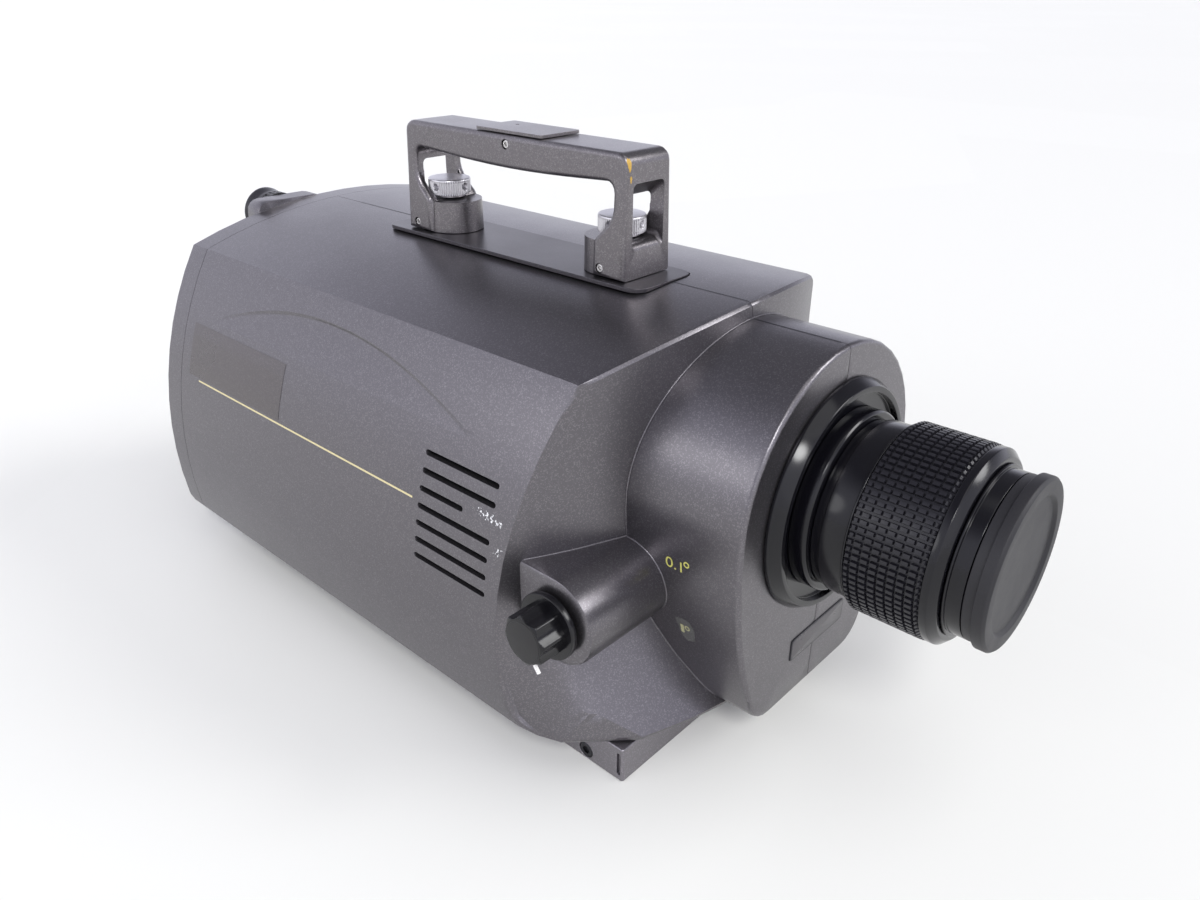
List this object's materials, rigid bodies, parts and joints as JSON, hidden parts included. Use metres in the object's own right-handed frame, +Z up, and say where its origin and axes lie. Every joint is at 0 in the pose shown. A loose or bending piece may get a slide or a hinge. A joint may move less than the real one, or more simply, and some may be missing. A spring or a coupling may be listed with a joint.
{
  "type": "portable spectroradiometer",
  "caption": "Portable light-measuring spectroradiometer with a focusing lens on an arched nose, a side selector knob, a rear viewfinder and a carrying handle.",
  "frame": {"origin": "on the base block's underside, straight below the lens axis and in line with the front of the body", "axes": "+Z up, the lens looks along -Y, +X to the right seen from the front looking along +Y"},
  "size_m": [0.1673, 0.4055, 0.2123],
  "materials": {
    "gunmetal": "satin gunmetal paint with a fine sparkle",
    "plate": "satin dark grey paint",
    "black_metal": "black anodised, fine turned",
    "rubber": "matte black rubber",
    "black_plastic": "black moulded plastic",
    "silver": "bright knurled aluminium",
    "steel": "zinc-plated steel",
    "brass": "cut brass",
    "casting": "bare cast and milled aluminium",
    "white": "white line",
    "glass": "coated optical glass",
    "mirror": "front-coated mirror",
    "grating": "ruled grating",
    "board": "green circuit board"
  },
  "bodies": {
    "housing": {"left_shell": "gunmetal", "right_shell": "gunmetal", "rear_cover": "gunmetal", "cover_screw_1": "steel", "cover_screw_2": "steel", "cover_screw_3": "steel", "cover_screw_4": "steel", "switch_frame": "black_plastic", "power_inlet": "black_plastic", "serial_connector": "steel", "eyepiece_tube": "black_metal", "eye_lens": "glass", "base_block": "gunmetal", "base_screw_left": "steel", "base_screw_right": "steel", "rear_foot_left": "rubber", "rear_foot_right": "rubber", "seat_plate": "plate", "handle": "gunmetal", "grub_screw_1": "steel", "grub_screw_2": "steel", "grub_screw_3": "steel", "top_plate": "gunmetal", "lens_tube": "black_metal", "lens_flange": "black_metal", "mount_ring": "black_metal", "lens_barrel": "black_metal", "rear_lens": "glass", "shaft_bush": "brass", "guide_rail_left": "casting", "guide_rail_right": "casting", "optical_bench": "casting", "slit_bracket": "casting", "slit_plate": "black_metal", "collimator_bracket": "casting", "collimator_mirror": "mirror", "focusing_bracket": "casting", "focusing_mirror": "mirror", "grating_bracket": "casting", "grating": "grating", "detector_bracket": "casting", "detector_board": "board", "main_board": "board"},
    "focus": {"focus_ring": "black_metal", "focus_grip": "rubber"},
    "front_group": {"front_cell": "black_metal", "front_lens": "glass"},
    "cap": {"lens_cap": "black_plastic"},
    "selector": {"selector_knob": "black_plastic", "knob_pointer": "white", "selector_shaft": "brass"},
    "slide": {"aperture_slide": "brass"},
    "thumb_front": {"thumbscrew_front": "silver"},
    "thumb_rear": {"thumbscrew_rear": "silver"},
    "diopter": {"diopter_ring": "black_plastic", "eye_cup": "rubber"},
    "rocker": {"power_rocker": "black_plastic"}
  },
  "joints": [
    {"name": "focus_turn", "type": "hinge", "parent": "housing", "child": "focus", "pos_m": [0, -0.1167, 0.1015], "axis": [0, -1, 0], "range_deg": [0, 240]},
    {"name": "focus_travel", "type": "slide", "parent": "housing", "child": "front_group", "axis": [0, -1, 0], "range_m": [0, 0.0081]},
    {"name": "cap_pull", "type": "slide", "parent": "front_group", "child": "cap", "axis": [0, -1, 0], "range_m": [0, 0.06]},
    {"name": "selector_turn", "type": "hinge", "parent": "housing", "child": "selector", "pos_m": [-0.1, -0.031, 0.0716], "axis": [-1, 0, 0], "range_deg": [0, 84]},
    {"name": "slide_travel", "type": "slide", "parent": "housing", "child": "slide", "axis": [0, 0, -1], "range_m": [0, 0.0117]},
    {"name": "thumb_front_turn", "type": "hinge", "parent": "housing", "child": "thumb_front", "pos_m": [-0.0031, 0.0198, 0.183], "axis": [0, 0, 1], "continuous": true},
    {"name": "thumb_rear_turn", "type": "hinge", "parent": "housing", "child": "thumb_rear", "pos_m": [-0.0031, 0.1215, 0.183], "axis": [0, 0, 1], "continuous": true},
    {"name": "diopter_turn", "type": "hinge", "parent": "housing", "child": "diopter", "pos_m": [-0.0194, 0.2437, 0.1531], "axis": [0, 1, 0], "range_deg": [-60, 60]},
    {"name": "rocker_tip", "type": "hinge", "parent": "housing", "child": "rocker", "pos_m": [0.017, 0.2362, 0.0895], "axis": [0, 0, 1], "range_deg": [0, 14]}
  ],
  "couplings": [
    {"joint": "focus_travel", "follows": "focus_turn", "m_per_rad": 0.00191},
    {"joint": "selector_turn", "follows": "slide_travel", "rad_per_m": 125}
  ]
}
